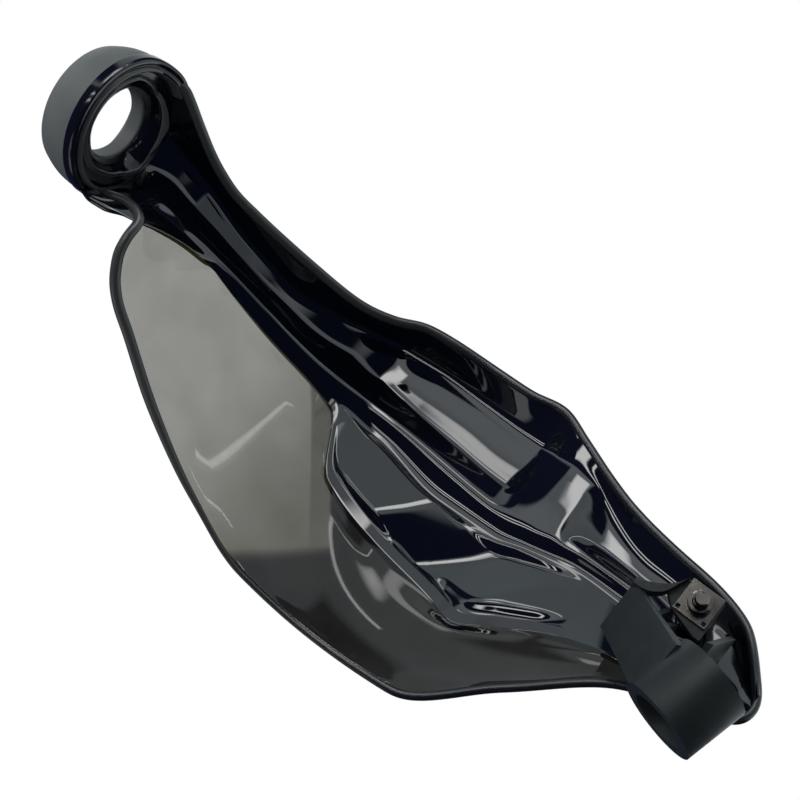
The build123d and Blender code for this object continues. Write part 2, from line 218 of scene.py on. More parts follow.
def shell(inner, outer, most_bulge=1.3):
    """Closed ring of points round a wall: up the inner face, over a half-round edge, down the outer face
    and back over a half-round edge. The edge bulges by half the wall along the face, but by no more than
    most_bulge."""
    turn = np.linspace(0, np.pi, 7)[1:-1, None]

    def edge(a, b, along):
        along = along / np.maximum(np.linalg.norm(along, axis=-1, keepdims=True), tiny)
        half = (b - a) / 2
        bulge = np.minimum(np.linalg.norm(half, axis=-1, keepdims=True), most_bulge)
        return (a + half) - half * np.cos(turn) + along * bulge * np.sin(turn)

    top = edge(inner[:, -1:], outer[:, -1:], inner[:, -1:] - inner[:, -2:-1])
    low = edge(outer[:, :1], inner[:, :1], inner[:, :1] - inner[:, 1:2])
    return np.concatenate([inner, top, outer[:, ::-1], low], 1)


low_rim = [(-6.6, -4, -23.6), (-10, -3, -23.6), (-12.8, -1.2, -23), (-14.6, 2, -21.9), (-16.4, 6, -20.8),
           (-18.3, 10.5, -19.5), (-20, 15, -18.5), (-22.5, 20, -17), (-27, 28, -15.3), (-32.5, 36, -14.4),
           (-40, 44, -15), (-56, 64, -18.4), (-75, 80, -21.4), (-87, 86.6, -26), (-97, 90.3, -31.8),
           (-106, 93, -33.6), (-124, 98, -35.4), (-140, 100.5, -36.2), (-152, 102, -38.6),
           (-166, 103, -33.8), (-193, 105, -22.4), (-216, 106, -17.8), (-234, 106, -14.8),
           (-249, 105, -9.2), (-259, 102, 1.4), (-267, 97, 12)]
gutter = [(-6.6, 19.6, -14), (-13, 28.5, -14), (-22, 38, -13.5), (-32, 53, -12.5), (-50, 75, -12.5),
          (-67, 92, -20), (-80, 104, -27.2), (-90, 107, -29.4), (-104, 108.2, -29.6), (-124, 109, -28.2),
          (-145, 109.8, -26.7), (-152.5, 110, -26.2), (-161, 107.3, -24.3), (-169, 105.5, -22.9),
          (-176, 106.3, -22.6), (-186, 109, -20.6), (-205, 111, -13), (-220, 111, -10), (-235, 110, -8),
          (-249, 108, -4), (-259, 104, 4), (-267, 97.5, 13)]
crease = [(-6.6, 22.9, -4.9), (-13, 27.9, -4.2), (-22, 37.4, -3.4), (-35, 56.8, -4.4), (-60, 84.2, -5.5),
          (-76, 99.6, -9.4), (-88, 107.1, -10.6), (-100, 108.45, -9.8), (-112, 108.5, -8.8),
          (-124, 108.6, -7.8), (-145, 109.3, -5.6), (-151, 109.3, -5.4), (-161, 105.4, -5.7),
          (-170, 104.2, -5.8), (-178, 104.4, -6.2), (-185, 108.2, -6.4), (-191, 110.2, -6),
          (-199, 111, -4.8), (-208, 111.2, -3.4), (-220, 110, -1), (-235, 109, 1), (-249, 107, 4),
          (-259, 104, 9), (-267, 97.5, 14)]
ridge = [(-6.6, 22, 8), (-22, 20, 7), (-31, 34, 5), (-50, 63, 3), (-73, 86, 2.4), (-85, 94.5, 1),
         (-97, 98.8, 0.6), (-109, 101, 0.9), (-131, 103, 2.7), (-161, 104.6, 5.2), (-170, 104.6, 5.2),
         (-180, 104.2, 3.6), (-190, 104.8, 1.8), (-211, 104.6, 1.6), (-222, 105, 5), (-235, 106, 9),
         (-249, 104, 12), (-259, 101.5, 14), (-267, 97.2, 15)]
valley = [(-6.6, 14.4, 18.4), (-22, 14, 14), (-36.5, 41, 7), (-46.5, 60, 5.2), (-59.5, 75.2, 5.4),
          (-72, 86.6, 5.6), (-80, 93, 5.6), (-92, 99.8, 5.9), (-105, 104, 6.6), (-137, 106.8, 12.4),
          (-160, 107.5, 12.2), (-172, 107.6, 9.2), (-183, 107.8, 6.8), (-193, 108.4, 5.2), (-210, 108, 6.6),
          (-222, 106, 12), (-235, 103, 16), (-249, 100.5, 18), (-267, 96.8, 15.9)]
shield_edge = [(-6.6, 3.2, 24.4), (-14, 2.8, 25), (-22, 4, 24.5), (-28, 6.3, 23.3), (-32, 8, 22),
               (-36.5, 34, 11), (-39.6, 51, 7.6), (-46.5, 62, 7.7), (-59.5, 77, 8.4), (-72, 88.4, 8.7),
               (-84, 96.6, 10.2), (-104, 95, 34), (-131, 98, 42), (-159, 98, 47), (-171, 97, 50),
               (-181, 98, 44.5), (-203, 99, 32), (-220, 97, 27.5), (-240, 96, 25), (-267, 96.3, 16.7)]
lip_edge = [(-6.6, 8.2, 20.4), (-16, 8, 20.1), (-20.5, 8, 18.7), (-24, 8, 18.5), (-28, 8, 19.3),
            (-32, 8.5, 21.5)]
top_rim = [(-31.5, 3, 26), (-33, 8.2, 33.6), (-36, 14.8, 40.7), (-46, 27.9, 49.2), (-64, 44.1, 62),
           (-88, 59.7, 74.3), (-113, 72, 82.55), (-139, 79.8, 83.8), (-174, 85.5, 81.5), (-201, 89.4, 58.9),
           (-231.5, 91.7, 34.1), (-250, 93, 27.6), (-259, 93.8, 24.4), (-264, 94.7, 21.4),
           (-267, 95.8, 17.6)]
wall_start = -6.6
wall_x = spaced((wall_start, 20), (-22, 14), (-31, 40), (-40, 60), (-84, 34), (-110, 40), (-150, 60),
                (-165, 70), (-231, 22), (-240, 44), (-267, 0))

# The wall's last two lines run beside the panel: its inset edge, which is a lip of its own by the cup, and
# the seam, which climbs to the top rim inboard of the panel's end
notch_x = -31
panel_end = -234
change_run = 3
inset_share = 0.1
climb_share = 0.98
seam = smooth_line(shield_edge, wall_x)
lines = [smooth_line(line, wall_x) for line in (low_rim, gutter, crease, ridge, valley)]
inset = seam + (lines[-1] - seam) * inset_share
past_notch = ease((notch_x - wall_x) / change_run)[:, None]
lines.append(smooth_line(lip_edge, wall_x) * (1 - past_notch) + inset * past_notch)
past_panel = ease((panel_end - wall_x) / change_run)[:, None]
lines.append(seam + (smooth_line(top_rim, wall_x) - seam) * climb_share * past_panel)
lines = np.stack(lines, 1)

# How far each inner line is rounded at stops along the bar, from the gutter to the inset edge
cut_stops = [-267, -232, -205, -184, -172, -152, -106, -76, -45, -22, -6]
cut_sizes = [(2, 5, 8, 7, 4, 2.6, 2.6, 4, 3, 3, 3), (2, 5, 9, 8, 3, 1.8, 1.8, 4, 2.5, 2.5, 2),
             (2, 3, 3, 3, 2.6, 2.6, 2.6, 2.5, 1.6, 2, 2), (1.5, 3, 3, 3, 2.5, 2.5, 2.5, 1.8, 1.5, 2, 2),
             (1, 1.2, 1.5, 1.5, 1.2, 1, 1, 0.8, 0.8, 1.2, 0.8)]
wall_cuts = np.zeros(lines.shape[:2])
for k, sizes in enumerate(cut_sizes, 1):
    wall_cuts[:, k] = np.interp(wall_x, cut_stops, sizes)
wall_runs = [4, 10, 4, 4, 30, 3]
wall_steps = 8
wall_inner = rounded(lines, wall_cuts, wall_steps, wall_runs)

# The wall starts thin under the cup's rim, and is thin beside the notch, where the panel needs room
wall_full = 2.6
wall_first = 0.3
thicken_run = 9
notch_thinning = 1.9
outer_extra_cut = 1.0
wall = np.full(lines.shape[:2], wall_full)
beside_notch = stretch(wall_x, start=-20, start_run=8, end=-46, end_run=6)
wall[:, -2:] -= notch_thinning * beside_notch[:, None]
wall = wall * (wall_first + (1 - wall_first) * ease((wall_start - wall_x) / thicken_run))[:, None]
outer_lines = outward(lines, wall_x, wall[..., None])
wall_outer = rounded(outer_lines, wall_cuts + outer_extra_cut, wall_steps, wall_runs)


def side_columns(k):
    """Columns of the wall grid that lie on straight side k."""
    first = 1 + sum(wall_runs[:k]) + k * wall_steps
    return slice(first, first + wall_runs[k])


# Guard frame, relief: the scooped triangle, the fold beyond it and the rolled lobe above the panel's seam,
# moulded into the wall's broad side between valley and edge, and a slight hollow along the trough's floor.
trough_side = 1
broad_side = 4
crest_start, crest_lean = -137, 13
groove_start, groove_lean = -168.5, 24
facet_stops = [-1.5, 0, 1, 2]
facet_heights = [0, 3.8, -3.8, 0]
facet_blur = np.linspace(-0.1, 0.1, 9)[:, None, None]
valley_hem, edge_hem = 0.12, 0.1
lobe_depth = 2.2
lobe_from, lobe_run = 0.74, 0.22
hollow_depth = 0.8
share = np.linspace(0, 1, wall_runs[broad_side] + 2)[None, 1:-1]
x_grid = wall_x[:, None]
crest_x = crest_start + crest_lean * share
groove_x = groove_start + groove_lean * share
facet = (crest_x - x_grid) / (crest_x - groove_x)
relief = np.interp(facet + facet_blur, facet_stops, facet_heights).mean(0)
relief = relief * ease(share / valley_hem) * ease((1 - share) / edge_hem)
lobe = lobe_depth * ease((share - lobe_from) / lobe_run)
lobe = lobe * stretch(x_grid, start=-152, start_run=10, end=-205, end_run=14)
floor_share = np.linspace(0, 1, wall_runs[trough_side] + 2)[None, 1:-1]
hollow = hollow_depth * np.sin(np.pi * floor_share)
hollow = hollow * stretch(x_grid, start=-84, start_run=12, end=-156, end_run=3)
side = lines[:, broad_side + 1] - lines[:, broad_side]
side = side / np.linalg.norm(side, axis=1, keepdims=True)
toward = np.stack([-side[:, 1], side[:, 0]], 1)[:, None]
for face in (wall_inner, wall_outer):
    face[:, side_columns(broad_side)] += toward * (relief - lobe)[..., None]
    face[:, side_columns(trough_side), 0] += hollow
wall_inner, wall_outer = on_bar(wall_inner, wall_x), on_bar(wall_outer, wall_x)
frame_wall = skin("frame_wall", shell(wall_inner, wall_outer), wrap_columns=True, caps=True)
black = (0.0052, 0.0068, 0.0135)
gloss_black = moulded("gloss_black", black, spread=0.15, patch=0.03,
                      roughness=(0.02, 0.05), grain=0.006, depth=0.012)
gloss_black.node_tree.nodes["Principled BSDF"].inputs["IOR"].default_value = 1.62
frame_wall.data.materials.append(gloss_black)

# Guard frame, boss: the moulding's hollow post behind the wall that takes the mounting screw, with a round
# recess through the wall for the screw's head. It is turned about the screw's axis, and the recess is cut
# from the wall.
screw_point = np.array([-235, 94.145, -1.5])
pad_turn = np.radians(10)
pad_axes = np.array([[np.cos(pad_turn), -np.sin(pad_turn), 0], [0, 0, 1],
                     [-np.sin(pad_turn), -np.cos(pad_turn), 0]])


def on_pad(profile, turns=64):
    """Grid of (w, radius) points turned about the screw's axis: w runs along it towards the rider."""
    grid = turned(np.asarray(profile, float), turns)
    across = grid[..., 1:2] * pad_axes[0] + grid[..., 2:] * pad_axes[1]
    return screw_point + across + grid[..., :1] * pad_axes[2]


boss_corners = [(-8, 2.75), (-15.1, 2.75), (-15.1, 5.5), (-18.1, 5.5), (-18.1, 7), (-0.1, 7), (-0.1, 2.75),
                (-8, 2.75)]
boss_cuts = [0, 0.2, 0.3, 0.4, 0.6, 0.5, 0.4, 0]
boss_ring = rounded(boss_corners, boss_cuts, steps=4, runs=1)[:-1]
boss = skin("frame_boss", on_pad(boss_ring), wrap_rows=True, wrap_columns=True)
boss.data.materials.append(gloss_black)
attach(boss, "root")
recess_radius = 5.6
drill_line = [(-14.8, recess_radius), (-30, recess_radius)]
drill = skin("drill", on_pad(drill_line).transpose(1, 0, 2), wrap_columns=True, caps=True)
drill.data.shade_flat()
cut = frame_wall.modifiers.new("recess", "BOOLEAN")
cut.object = drill
bpy.context.view_layer.update()
drilled = frame_wall.evaluated_get(bpy.context.evaluated_depsgraph_get())
frame_wall.data = bpy.data.meshes.new_from_object(drilled)
frame_wall.modifiers.clear()
bpy.data.objects.remove(drill)
frame_wall.data.set_sharp_from_angle(angle=np.radians(60))
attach(frame_wall, "root")
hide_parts("guard_frame")

# Guard frame, cup: the moulding's ring that seats on the sleeve, with a double rim, a floor, a collar and a
# funnel into the bore. The rim sinks where the channel leaves and stands higher beside the low rim; the
# collar runs out to a spur. A pale painted sheen lies on the collar's flank, strongest on one side, and on
# the lip.
cup_turns = 240
cup_angle = np.linspace(0, 360, cup_turns, endpoint=False)
leave_from, leave_run = 0.15, 0.25
leaving = ease((np.cos(np.radians(cup_angle)) - leave_from) / leave_run)
collar_angle = [-100, -70, -44, -14, 6, 35, 65, 95, 140, 220, 260]
collar_crest = np.interp(cup_angle, collar_angle,
                         [15.0, 15.2, 15.7, 16.4, 18.4, 15.6, 15.6, 17.0, 18.6, 18.6, 15.0], period=360)
collar_foot = np.interp(cup_angle, collar_angle,
                        [16.4, 18.2, 21.6, 18.4, 19.8, 17.4, 17.2, 18.6, 19.8, 19.8, 16.4], period=360)
floor_gap, floor_least = 0.5, 20.8
floor_edge = np.maximum(collar_foot + floor_gap, floor_least)
cup_plan = [(-3.15, 16), (-3.15, 12.75), (-6.2, 13.5), (-9.2, 17), (-7.8, 18.5), (-7.6, 20.8), (-9.5, 21.7),
            (-9.7, 22.9), (-9.1, 23.5), (-9.8, 24.3), (-9.8, 25.5), (-8.6, 26), (-5.5, 26), (-5.5, 19.5),
            (-3.15, 19.5), (-3.15, 16)]
cup_cuts = [0, 0.5, 1.5, 0.8, 0.7, 0.5, 0.5, 0.5, 0.4, 0.6, 0.6, 0.4, 0.4, 0.3, 0.4, 0]

# Places in the plan of the funnel's mouth, the collar's crest and foot, the floor's edge, the rim and the
# outer lip
funnel, crest, foot, brink, rim, outer_lip = 2, 3, 4, 5, 6, 11
funnel_radius = 12.9
funnel_share = 0.25
rim_radius = 21.7
rim_step = 0.4
rim_sink = 2.9
lip_sink = 1.9
rim_lift = 3.2
lift_from, lift_run = 232, 32
lifted = ease((cup_angle - lift_from) / lift_run) * (1 - leaving)
cup_corners = np.repeat(np.array(cup_plan)[None], cup_turns, 0)
cup_corners[:, funnel, 1] = funnel_radius + funnel_share * (collar_crest - funnel_radius)
cup_corners[:, crest, 1] = collar_crest
cup_corners[:, foot, 1] = collar_foot
cup_corners[:, brink, 1] = floor_edge
cup_corners[:, rim, 1] = np.maximum(rim_radius, floor_edge + rim_step)
cup_corners[:, rim:outer_lip, 0] += rim_sink * leaving[:, None]
cup_corners[:, outer_lip, 0] += lip_sink * leaving
cup_corners[:, rim:outer_lip + 1, 0] -= rim_lift * lifted[:, None]
cup_grid = turned(rounded(cup_corners, cup_cuts, steps=6, runs=2)[:, :-1], cup_turns)
cup = skin("frame_cup", cup_grid, wrap_rows=True, wrap_columns=True)

# Where the painted sheen lies: the collar's flank, full about one turn and thin elsewhere, and the lip
sheen_turn, sheen_half = -42, 55
thin_sheen, lip_sheen = 0.45, 0.5
sheen_depth = -7.4
lip_inside, lip_outside = 20.9, 22
channel_half = 80
reach = np.hypot(cup_grid[..., 1], cup_grid[..., 2])
bearing = np.abs((cup_angle - sheen_turn + 180) % 360 - 180)[:, None]
rider_side = cup_grid[..., 0] < sheen_depth
flank = rider_side & (reach > collar_crest[:, None] + 0.1) & (reach < collar_foot[:, None] + 0.2)
away = np.abs((cup_angle + 180) % 360 - 180)[:, None] > channel_half
lip = rider_side & (reach > lip_inside) & (reach < lip_outside) & away
painted_sheen = flank * np.where(bearing < sheen_half, 1.0, thin_sheen) + lip * lip_sheen
cup.data.attributes.new("painted_sheen", "FLOAT", "POINT").data.foreach_set("value", painted_sheen.ravel())


def mixed_in(finish, colour, share):
    """Mixes a second colour into a finish by the share that a socket gives."""
    tree = finish.node_tree
    base = tree.nodes["Principled BSDF"].inputs["Base Color"]
    mix = add_node(tree, "Mix", {"Factor": share, "A": base.links[0].from_socket, "B": (*colour, 1)},
                   data_type="RGBA")
    tree.links.new(mix.outputs["Result"], base)


cup_black = moulded("cup_black", black, spread=0.15, patch=0.03,
                    roughness=(0.1, 0.16), grain=0.006, depth=0.012)
sheen_attribute = add_node(cup_black.node_tree, "Attribute", {}, attribute_name="painted_sheen")
# Mixes in the pale grey of the painted sheen
mixed_in(cup_black, (0.21, 0.225, 0.225), sheen_attribute.outputs["Fac"])
cup.data.materials.append(cup_black)
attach(cup, "root")


# Guard frame, bead: the moulding's rolled lip round the whole edge, from the cup's inner rim down the
# channel, round the inboard end, back over the top of the shield and into the notch beside the cup. It is
# satin; its pale grey towards the cup is a painted sheen, which fades to near black inboard.
def evenly(path, gap):
    """Closed path laid out again at an even gap between its points."""
    loop = np.concatenate([path, path[:1]])
    run = np.concatenate([[0], np.cumsum(np.linalg.norm(np.diff(loop, axis=0), axis=1))])
    place = np.linspace(0, run[-1], int(run[-1] / gap), endpoint=False)
    return np.stack([np.interp(place, run, loop[:, k]) for k in range(loop.shape[1])], 1)


def tube(name, path, radius, around=24):
    """Closed round bar along a path: each ring is path + r (cos a n + sin a b), with n across the path and
    b square to both; n is square to one fixed axis that the path never follows."""
    never_followed = np.array([0.31, -0.95, 0.05])
    ahead = np.roll(path, -1, 0) - np.roll(path, 1, 0)
    ahead = ahead / np.linalg.norm(ahead, axis=1, keepdims=True)
    across = np.cross(ahead, never_followed)
    across = across / np.linalg.norm(across, axis=1, keepdims=True)
    square = np.cross(ahead, across)
    turn = np.linspace(0, 2 * np.pi, around, endpoint=False)[None, :, None]
    out = np.cos(turn) * across[:, None] + np.sin(turn) * square[:, None]
    ring = path[:, None] + radius[:, None, None] * out
    return skin(name, ring, wrap_rows=True, wrap_columns=True, flip=True)


arc_x, arc_radius, arc_size = -9.4, 22.3, 1.0
arc = np.radians(np.linspace(62, 262, 60))
bead_arc = np.stack([np.full_like(arc, arc_x), arc_radius * np.cos(arc), arc_radius * np.sin(arc)], 1)
low_size = 1.75
low_setback = 0.3
up_wall = wall_inner[:, 3] - wall_inner[:, 0]
up_wall = up_wall / np.linalg.norm(up_wall, axis=1, keepdims=True)
bead_low = (wall_inner[:, 0] + wall_outer[:, 0]) / 2 + up_wall * low_setback
low_start, low_end = -12, -258
bead_low = bead_low[(wall_x < low_start) & (wall_x > low_end)]
bead_end = np.array([(-262.5, 101.4, 5.4), (-265.8, 100, 9.8), (-267.8, 99, 14), (-267.8, 98, 18.4),
                     (-266, 97, 21.8), (-262.5, 95.4, 24)])
rim_x = spaced((-259, 30), (-231, 60), (-100, 60), (-40, 40), (-33, 0))
rim_size = np.interp(-rim_x, [33, 60, 95, 140, 180, 259], [1.9, 1.8, 1.0, 1.2, 1.5, 1.6])
rim_lines = np.stack([smooth_line(shield_edge, rim_x), smooth_line(top_rim, rim_x)], 1)
rim_mid = (rim_lines[:, 1] + outward(rim_lines, rim_x, wall_full)[:, 1]) / 2
bead_top = np.concatenate([rim_x[:, None], rim_mid], 1)
bead_notch = np.array([(-32.7, 7.6, 28), (-32.4, 8, 23.4), (-31, 8.2, 20.6), (-28, 8, 19.3), (-24, 8, 18.5),
                       (-20.5, 8, 18.7), (-16, 8, 20.1), (-12, 9, 20.4)])
notch_size = 1.8
bead_path = np.concatenate([bead_arc, bead_low, bead_end, bead_top, bead_notch])
bead_size = np.concatenate([np.full(len(bead_arc), arc_size),
                            np.full(len(bead_low) + len(bead_end), low_size),
                            rim_size, np.full(len(bead_notch), notch_size)])
bead_loop = evenly(np.column_stack([bead_path, bead_size]), gap=0.9)
smoothings = 8
for smoothing in range(smoothings):
    bead_loop = (np.roll(bead_loop, 1, 0) + 2 * bead_loop + np.roll(bead_loop, -1, 0)) / 4
bead = tube("frame_bead", bead_loop[:, :3], bead_loop[:, 3])
# Pale grey base: a painted sheen, mixed back to near black inboard below
bead_painted_sheen = moulded("bead_painted_sheen", colour=(0.068, 0.073, 0.074), spread=0.2, patch=0.02,
                    roughness=(0.26, 0.36), grain=0.003, depth=0.02)
rim_tree = bead_painted_sheen.node_tree
bead_place = add_node(rim_tree, "SeparateXYZ", {0: add_node(rim_tree, "TexCoord", {}).outputs["Object"]})
inboard = add_node(rim_tree, "MapRange", {"Value": bead_place.outputs["X"],
                                          "From Min": -0.06, "From Max": -0.12})
mixed_in(bead_painted_sheen, (0.013, 0.015, 0.018), inboard.outputs["Result"])
bead.data.materials.append(bead_painted_sheen)
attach(bead, "root")

# Smoke shield: a thin panel of smoke-tinted clear plastic, let into the frame above the channel and bonded
# there. It is made pale and clearer outboard of the crease and the fold that cross it, and dark and dense
# inboard of them, and a painted shade darkens its pale half inboard; its section bows between the frame and
# the top rim.
shield_x = spaced((-32.6, 24), (-40, 50), (-84, 34), (-110, 60), (-235, 0))
shield_wall = 2.2
shield_bow = 2.0
seat_depth = 0.2
rim_depth = 0.8
lower = smooth_line(shield_edge, shield_x)
upper = smooth_line(top_rim, shield_x)
down = lower - upper
down = down / np.linalg.norm(down, axis=1, keepdims=True)
ahead = np.stack([-down[:, 1], down[:, 0]], 1)[:, None]
lower = (lower - down * seat_depth)[:, None]
upper = (upper + down * rim_depth)[:, None]
bow = np.linspace(0, 1, 24)[None, :, None]
face = lower * (1 - bow) + upper * bow + ahead * shield_bow * 4 * bow * (1 - bow)

# The edges and ends keep the drawn lines; between them a curve of the fifth degree along the bar irons out
# small waves
degree = 5
held_share = 0.14
held_end = 22
span = (shield_x - shield_x.mean()) / np.ptp(shield_x)
powers = span[:, None] ** np.arange(degree + 1)
ironed = powers @ np.linalg.lstsq(powers, face.reshape(len(span), -1), rcond=None)[0]
free = stretch(shield_x, shield_x[0], held_end, shield_x[-1], held_end)[:, None, None]
free = free * ease(np.minimum(bow, 1 - bow) / held_share)
face = face + (ironed.reshape(face.shape) - face) * free
shield_inner = on_bar(face, shield_x)
shield_outer = on_bar(face + ahead * shield_wall, shield_x)
shield = skin("smoke_panel", shell(shield_inner, shield_outer), wrap_columns=True, caps=True, flip=True)


def across_line(tree, place, direction, origin, near, far):
    """Smooth 0 to 1 value between two distances (metres) from a line, along a direction in x and z."""
    measure = add_node(tree, "VectorMath", {0: place, 1: (direction[0], 0, direction[1])},
                       operation="DOT_PRODUCT")
    start = direction[0] * origin[0] + direction[1] * origin[1]
    blend = add_node(tree, "MapRange", {"Value": measure.outputs["Value"], "From Min": start + near,
                                        "From Max": start + far}, interpolation_type="SMOOTHSTEP")
    return blend.outputs["Result"]


def worked_out(tree, operation, *values):
    """Result of one math operation on values and sockets."""
    return add_node(tree, "Math", dict(enumerate(values)), operation=operation).outputs[0]


smoke, smoke_tree, smoke_shader = new_finish("smoke_clear")
smoke_place = add_node(smoke_tree, "TexCoord", {}).outputs["Object"]
crease_line = ((-0.760, -0.649), (-0.0841, 0.0102))
fold_line = ((-0.854, 0.521), (-0.1255, 0.0587))
painted_shade_line = ((-0.98, -0.196), (0, 0))
band_share = 0.6
painted_shade_share = 0.51
past_crease = across_line(smoke_tree, smoke_place, *crease_line, near=-0.0015, far=0.0015)
past_fold = across_line(smoke_tree, smoke_place, *fold_line, near=-0.012, far=-0.001)
band = across_line(smoke_tree, smoke_place, *crease_line, near=-0.0075, far=-0.0055)
# Painted shade: darkens the pale half of the panel inboard
painted_shade = across_line(smoke_tree, smoke_place, *painted_shade_line, near=0.048, far=0.106)
dark_half = worked_out(smoke_tree, "MAXIMUM", past_crease, past_fold)
pale_half = worked_out(smoke_tree, "MAXIMUM", worked_out(smoke_tree, "MULTIPLY", band, band_share),
                       worked_out(smoke_tree, "MULTIPLY", painted_shade, painted_shade_share))
darkness = worked_out(smoke_tree, "MAXIMUM", dark_half, pale_half)
cloud = add_node(smoke_tree, "TexNoise", {"Vector": smoke_place, "Scale": 45, "Detail": 5})
smudge = add_node(smoke_tree, "MapRange", {"Value": cloud.outputs["Fac"], "From Min": 0.35, "From Max": 0.75,
                                           "To Min": -0.02, "To Max": 0.04})
density = add_node(smoke_tree, "MapRange", {"Value": darkness, "To Min": 0.53, "To Max": 0.9})
cover = worked_out(smoke_tree, "ADD", density.outputs["Result"], smudge.outputs["Result"])
smoke_tree.links.new(cover, smoke_shader.inputs["Alpha"])
tint = add_node(smoke_tree, "Mix", {"Factor": darkness, "A": (0.185, 0.18, 0.05, 1),
                                    "B": (0.013, 0.012, 0.0105, 1)}, data_type="RGBA")
smoke_tree.links.new(tint.outputs["Result"], smoke_shader.inputs["Base Color"])
smoke_shader.inputs["Roughness"].default_value = 0.04
smoke_shader.inputs["IOR"].default_value = 1.5
smoke_shader.inputs["Specular IOR Level"].default_value = 0.35
shield.data.materials.append(smoke)
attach(shield, "root")
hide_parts("smoke_shield")


# Lever bracket: a ribbed arm and tube moulded in satin black plastic, screwed to the inboard end. The solid
# carries the shape; its edges are broken and it gets the moulded finish.
def dressed(node, edge, finish):
    """Dresses a solid: joins the loose corners of its mesh, rounds every edge sharper than 30 degrees and
    gives it a finish."""
    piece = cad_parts[node]
    weld = piece.modifiers.new("join", "WELD")
    weld.merge_threshold = 0.00001
    bevel = piece.modifiers.new("round", "BEVEL")
    bevel.width = edge
    bevel.segments = 3
    bevel.limit_method = "ANGLE"
    bevel.angle_limit = np.radians(30)
    bevel.harden_normals = False
    piece.data.materials.clear()
    piece.data.materials.append(finish)


satin_black = moulded("satin_black", colour=(0.026, 0.032, 0.034), spread=0.15, patch=0.01,
                      roughness=(0.4, 0.5), grain=0.0004, depth=0.2)
satin_black.node_tree.nodes["Principled BSDF"].inputs["Specular IOR Level"].default_value = 0.2
dressed("lever_bracket", 0.0005, satin_black)

# Clip nut: spring steel folded over the edge of the bracket's pad, dull zinc plated. The solid carries the
# shape; the sheet's cut edges are broken.
clip_zinc = moulded("clip_zinc", colour=(0.15, 0.137, 0.122), spread=0.15, patch=0.008,
                    roughness=(0.2, 0.3), grain=0.0006, depth=0.05)
clip_zinc.node_tree.nodes["Principled BSDF"].inputs["Metallic"].default_value = 1.0
dressed("clip_nut", 0.00018, clip_zinc)

# Mounting screw: plated steel, driven from the front through the boss and the pad. The solid carries the
# shape; its tip stands out of the clip nut.
dressed("mounting_screw", 0.0002, clip_zinc)

# Studio: a white floor far below and a white surround that light the part softly from all sides. In mirror
# reflections the floor is mottled, with a painted shadow that greys it under the part, and brighter far
# away.
scene = bpy.context.scene
scene.view_settings.view_transform = "Standard"


def seen_directly(tree):
    """1 for camera, glossy and transmission rays, else 0."""
    rays = add_node(tree, "LightPath", {}).outputs
    total = rays["Is Camera Ray"]
    for kind in ("Is Glossy Ray", "Is Transmission Ray"):
        total = add_node(tree, "Math", {0: total, 1: rays[kind]}, use_clamp=True).outputs[0]
    return total


floor_depth = -2200
floor_half = 20000
floor_sides = (-floor_half, floor_half)
floor_grid = np.array([[(x, y, floor_depth) for y in floor_sides] for x in floor_sides], float)
floor = skin("floor", floor_grid)
floor_white, floor_tree, floor_shader = new_finish("floor_white")
floor_shader.inputs["Base Color"].default_value = (0.9, 0.9, 0.89, 1)
floor_shader.inputs["Roughness"].default_value = 0.9
floor_place = add_node(floor_tree, "TexCoord", {}).outputs["Object"]
cloud = add_node(floor_tree, "TexNoise", {"Vector": floor_place, "Scale": 0.7, "Detail": 3})
distance = add_node(floor_tree, "VectorMath", {0: floor_place}, operation="LENGTH")
# Painted shadow: the floor's reflection is grey near the part and fades out far away
painted_shadow_fade = add_node(floor_tree, "MapRange", {"Value": distance.outputs["Value"],
                                             "From Min": 2.4, "From Max": 6.5,
                                             "To Min": -0.2, "To Max": 0.7})
mottle_share = 0.5
mottle_and_painted_shadow = worked_out(floor_tree, "MULTIPLY_ADD", cloud.outputs["Fac"], mottle_share,
                    painted_shadow_fade.outputs["Result"])
floor_reflection_painted_shadow = add_node(floor_tree, "Mix", {"Factor": mottle_and_painted_shadow, "A": (0.66, 0.76, 0.8, 1), "B": (1.3, 1.42, 1.46, 1)},
                 data_type="RGBA")
rays = add_node(floor_tree, "LightPath", {}).outputs
seen = add_node(floor_tree, "Mix", {"Factor": rays["Is Glossy Ray"], "A": (1, 1, 1, 1),
                                    "B": floor_reflection_painted_shadow.outputs["Result"]}, data_type="RGBA")
glow = add_node(floor_tree, "Emission", {"Color": seen.outputs["Result"]})
blend = add_node(floor_tree, "MixShader", {"Fac": seen_directly(floor_tree), 1: floor_shader.outputs[0],
                                           2: glow.outputs[0]})
floor_tree.links.new(blend.outputs[0], floor_tree.nodes["Material Output"].inputs["Surface"])
floor.data.materials.append(floor_white)

world = bpy.data.worlds.new("surround")
scene.world = world
world.use_nodes = True
surround_light = 0.2
level = add_node(world.node_tree, "MapRange", {"Value": seen_directly(world.node_tree),
                                               "To Min": surround_light, "To Max": 1.0})
background = world.node_tree.nodes["Background"]
background.inputs["Color"].default_value = (1, 1, 1, 1)
world.node_tree.links.new(level.outputs["Result"], background.inputs["Strength"])


# Studio, cards: curved cards round the part that only its reflections see. Dark cloth overhead and dark and
# grey flags round the camera make the black gloss deep; lamps between them draw the bright lines along its
# edges, the glints in the trough and the bowl, and the straight streak in the panel.
def glowing(name, colour, radiance):
    """Even glow of one colour, as dense as the card's cover."""
    finish, tree, shader = new_finish(name)
    shader.inputs["Base Color"].default_value = (0, 0, 0, 1)
    shader.inputs["Specular IOR Level"].default_value = 0
    shader.inputs["Emission Color"].default_value = (*colour, 1)
    shader.inputs["Emission Strength"].default_value = radiance
    cover = add_node(tree, "Attribute", {}, attribute_name="cover")
    tree.links.new(cover.outputs["Fac"], shader.inputs["Alpha"])
    return finish


